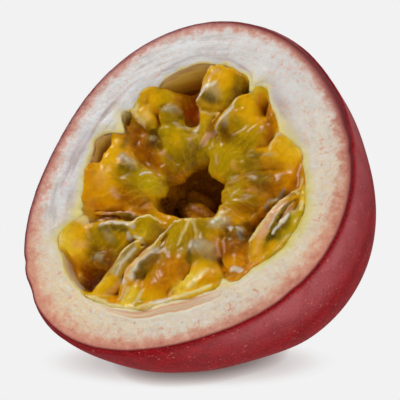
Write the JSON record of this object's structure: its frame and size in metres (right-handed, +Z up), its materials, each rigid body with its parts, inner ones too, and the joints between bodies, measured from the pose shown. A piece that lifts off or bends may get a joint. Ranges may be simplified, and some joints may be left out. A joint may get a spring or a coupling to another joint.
{
  "type": "passion fruit half",
  "caption": "Half of a ripe red passion fruit: a thick pale shell with a glossy crimson skin, filled with amber pulp in radial juice sacs round an open middle, resting tilted on its side.",
  "frame": {"origin": "on the surface it rests on, under the middle of the half's bounding box", "axes": "+Z up; the cut face leans 45 degrees forward, so its outward normal points half way between -Y and +Z; +X to the right as the cut face is looked at"},
  "size_m": [0.0598, 0.0586, 0.0575],
  "materials": {
    "skin": "smooth waxy crimson fruit skin, satin gloss",
    "pith": "moist pale pith, pinker towards the skin",
    "pulp": "wet translucent amber juice sacs",
    "seed": "hard dark seed under wet pulp"
  },
  "bodies": {
    "root": {"shell": "skin", "pulp": "pulp"}
  },
  "joints": []
}
